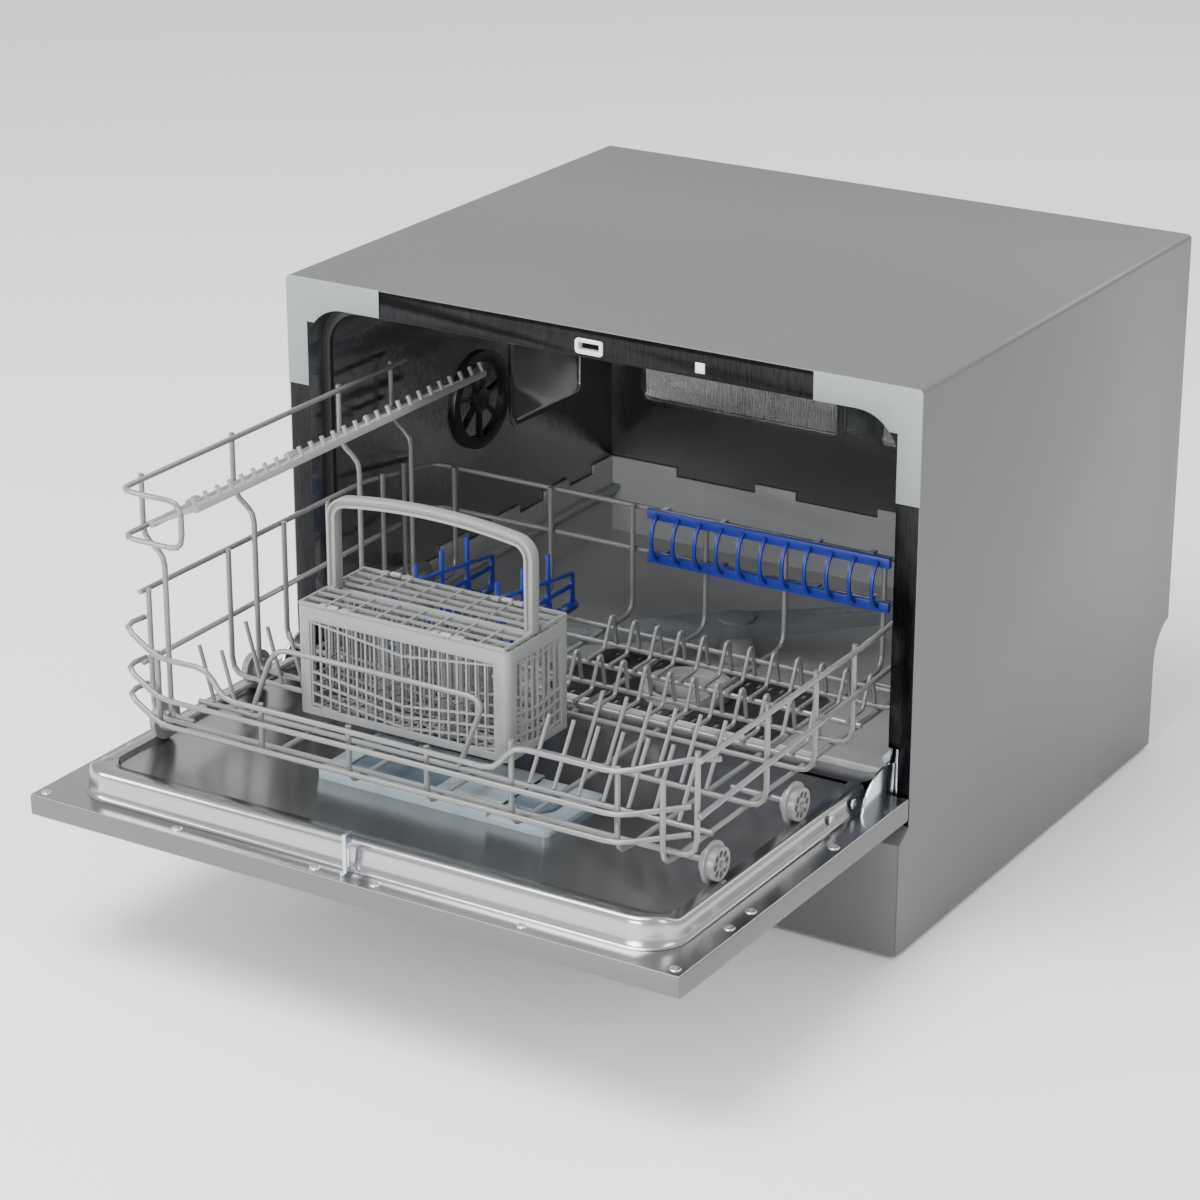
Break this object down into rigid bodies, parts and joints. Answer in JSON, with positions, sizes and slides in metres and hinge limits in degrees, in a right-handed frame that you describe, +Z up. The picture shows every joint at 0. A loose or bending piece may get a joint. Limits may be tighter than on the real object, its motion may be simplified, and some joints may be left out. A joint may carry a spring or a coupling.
{
  "type": "countertop dishwasher",
  "caption": "Countertop dishwasher with its drop-down door open and its wire rack drawn out, with cutlery basket, cup shelf, spray arm and rack wheels.",
  "frame": {"origin": "On the worktop, at the middle of the box around the whole object with its door open.", "axes": "+Z up, the door faces -Y, +X to the right seen from the front."},
  "size_m": [0.55, 0.803, 0.438],
  "materials": {
    "case_paint": "satin silver paint",
    "rear_sheet": "matt",
    "base_plastic": "matt",
    "black_rubber": "matt",
    "stainless": "brushed",
    "tub_plastic": "satin",
    "zinc_sheet": "zinc plated",
    "white_plastic": "satin",
    "black_plastic": "matt",
    "dark_mesh": "woven mesh",
    "pump_grey": "matt",
    "fascia_plastic": "satin",
    "dispenser_plastic": "satin",
    "dispenser_dark": "satin",
    "screw_steel": "bright",
    "arm_plastic": "satin",
    "button_plastic": "satin",
    "coated_wire": "satin grey coating",
    "rack_plastic": "satin",
    "blue_plastic": "satin"
  },
  "bodies": {
    "cabinet": {"outer_casing": "case_paint", "rear_panel": "rear_sheet", "base_tray": "base_plastic", "kick_plate": "case_paint", "feet": "black_rubber", "tub_shell": "stainless", "tub_base": "tub_plastic", "tub_rails": "tub_plastic", "corner_brackets": "zinc_sheet", "latch_keeper": "white_plastic", "indicator_window": "white_plastic", "door_seal": "black_rubber", "tub_vent": "black_plastic", "mesh_filter": "dark_mesh", "sump": "black_plastic", "wash_pump": "pump_grey", "drain_pump": "pump_grey", "flow_heater": "stainless", "softener": "white_plastic", "inlet_valve": "white_plastic", "drain_outlet": "black_plastic", "cord_gland": "black_plastic", "hinge_brackets": "zinc_sheet", "arm_spindle": "tub_plastic", "door_panel": "case_paint", "door_liner": "stainless", "hinge_arms": "zinc_sheet", "control_fascia": "fascia_plastic", "latch_hook": "zinc_sheet", "dispenser_body": "dispenser_plastic", "door_screws": "screw_steel"},
    "spray_arm": {"spray_arm": "arm_plastic"},
    "filter_cup": {"filter_cup": "arm_plastic"},
    "salt_cap": {"salt_cap": "dispenser_plastic"},
    "dispenser_lid": {"dispenser_lid": "dispenser_dark"},
    "rinse_cap": {"rinse_cap": "dispenser_dark"},
    "button_power": {"button_power": "button_plastic"},
    "button_program": {"button_program": "button_plastic"},
    "button_delay": {"button_delay": "button_plastic"},
    "button_start": {"button_start": "button_plastic"},
    "rack": {"rack_frame": "coated_wire", "rack_floor": "coated_wire", "rack_gallery": "coated_wire", "looped_tines": "coated_wire", "slanted_tines": "coated_wire", "rail_clip": "blue_plastic"},
    "wheel_left_front": {"wheel_left_front": "rack_plastic"},
    "wheel_left_mid": {"wheel_left_mid": "rack_plastic"},
    "wheel_left_rear": {"wheel_left_rear": "rack_plastic"},
    "wheel_right_front": {"wheel_right_front": "rack_plastic"},
    "wheel_right_mid": {"wheel_right_mid": "rack_plastic"},
    "wheel_right_rear": {"wheel_right_rear": "rack_plastic"},
    "cup_shelf": {"cup_shelf": "rack_plastic"},
    "comb_outer": {"fold_comb_outer": "blue_plastic"},
    "comb_inner": {"fold_comb_inner": "blue_plastic"},
    "basket": {"cutlery_basket": "rack_plastic", "basket_handle": "rack_plastic"},
    "basket_lid_front": {"basket_lid_front": "rack_plastic"},
    "basket_lid_rear": {"basket_lid_rear": "rack_plastic"}
  },
  "joints": [
    {"name": "rack_slide", "type": "slide", "parent": "cabinet", "child": "rack", "axis": [0, 1, 0], "range_m": [-0.02, 0.26]},
    {"name": "spray_arm_turn", "type": "hinge", "parent": "cabinet", "child": "spray_arm", "pos_m": [0, 0.1565, 0.127], "axis": [0, 0, 1], "continuous": true},
    {"name": "filter_twist", "type": "hinge", "parent": "cabinet", "child": "filter_cup", "pos_m": [0.0051, 0.0695, 0.1], "axis": [0, 0, 1], "range_deg": [0, 60]},
    {"name": "salt_cap_turn", "type": "hinge", "parent": "cabinet", "child": "salt_cap", "pos_m": [-0.16775, 0.0253, 0.1], "axis": [0, 0, 1], "range_deg": [0, 340]},
    {"name": "dispenser_lid_slide", "type": "slide", "parent": "cabinet", "child": "dispenser_lid", "axis": [1, 0, 0], "range_m": [0, 0.05]},
    {"name": "rinse_cap_turn", "type": "hinge", "parent": "cabinet", "child": "rinse_cap", "pos_m": [0.068, -0.2485, 0.142], "axis": [0, 0, 1], "range_deg": [0, 90]},
    {"name": "press_power", "type": "slide", "parent": "cabinet", "child": "button_power", "axis": [0, 0, 1], "range_m": [0, 0.0014], "stiffness_N_per_m": 400},
    {"name": "press_program", "type": "slide", "parent": "cabinet", "child": "button_program", "axis": [0, 0, 1], "range_m": [0, 0.0014], "stiffness_N_per_m": 400},
    {"name": "press_delay", "type": "slide", "parent": "cabinet", "child": "button_delay", "axis": [0, 0, 1], "range_m": [0, 0.0014], "stiffness_N_per_m": 400},
    {"name": "press_start", "type": "slide", "parent": "cabinet", "child": "button_start", "axis": [0, 0, 1], "range_m": [0, 0.0014], "stiffness_N_per_m": 400},
    {"name": "wheel_left_front_roll", "type": "hinge", "parent": "rack", "child": "wheel_left_front", "pos_m": [-0.237, -0.28949, 0.154], "axis": [1, 0, 0], "range_deg": [-1260, 120]},
    {"name": "wheel_left_mid_roll", "type": "hinge", "parent": "rack", "child": "wheel_left_mid", "pos_m": [-0.237, -0.17566, 0.154], "axis": [1, 0, 0], "range_deg": [-1260, 120]},
    {"name": "wheel_left_rear_roll", "type": "hinge", "parent": "rack", "child": "wheel_left_rear", "pos_m": [-0.237, 0.04762, 0.154], "axis": [1, 0, 0], "range_deg": [-1260, 120]},
    {"name": "wheel_right_front_roll", "type": "hinge", "parent": "rack", "child": "wheel_right_front", "pos_m": [0.237, -0.28949, 0.154], "axis": [1, 0, 0], "range_deg": [-1260, 120]},
    {"name": "wheel_right_mid_roll", "type": "hinge", "parent": "rack", "child": "wheel_right_mid", "pos_m": [0.237, -0.17566, 0.154], "axis": [1, 0, 0], "range_deg": [-1260, 120]},
    {"name": "wheel_right_rear_roll", "type": "hinge", "parent": "rack", "child": "wheel_right_rear", "pos_m": [0.237, 0.04762, 0.154], "axis": [1, 0, 0], "range_deg": [-1260, 120]},
    {"name": "cup_shelf_fold", "type": "hinge", "parent": "rack", "child": "cup_shelf", "pos_m": [-0.235, -0.1205, 0.31191], "axis": [0, -1, 0], "range_deg": [0, 57]},
    {"name": "comb_outer_fold", "type": "hinge", "parent": "rack", "child": "comb_outer", "pos_m": [-0.15807, -0.0365, 0.16735], "axis": [0, -1, 0], "range_deg": [0, 84]},
    {"name": "comb_inner_fold", "type": "hinge", "parent": "rack", "child": "comb_inner", "pos_m": [-0.08195, -0.0365, 0.16735], "axis": [0, -1, 0], "range_deg": [0, 84]},
    {"name": "basket_lift", "type": "slide", "parent": "rack", "child": "basket", "axis": [0, 0, -1], "range_m": [-0.15, 0]},
    {"name": "basket_lid_front_swing", "type": "hinge", "parent": "basket", "child": "basket_lid_front", "pos_m": [-0.05052, -0.2473, 0.253], "axis": [1, 0, 0], "range_deg": [0, 100]},
    {"name": "basket_lid_rear_swing", "type": "hinge", "parent": "basket", "child": "basket_lid_rear", "pos_m": [-0.05052, -0.1653, 0.253], "axis": [-1, 0, 0], "range_deg": [0, 100]}
  ],
  "couplings": [
    {"joint": "wheel_left_front_roll", "follows": "rack_slide", "rad_per_m": -80.645},
    {"joint": "wheel_left_mid_roll", "follows": "rack_slide", "rad_per_m": -80.645},
    {"joint": "wheel_left_rear_roll", "follows": "rack_slide", "rad_per_m": -80.645},
    {"joint": "wheel_right_front_roll", "follows": "rack_slide", "rad_per_m": -80.645},
    {"joint": "wheel_right_mid_roll", "follows": "rack_slide", "rad_per_m": -80.645},
    {"joint": "wheel_right_rear_roll", "follows": "rack_slide", "rad_per_m": -80.645}
  ]
}
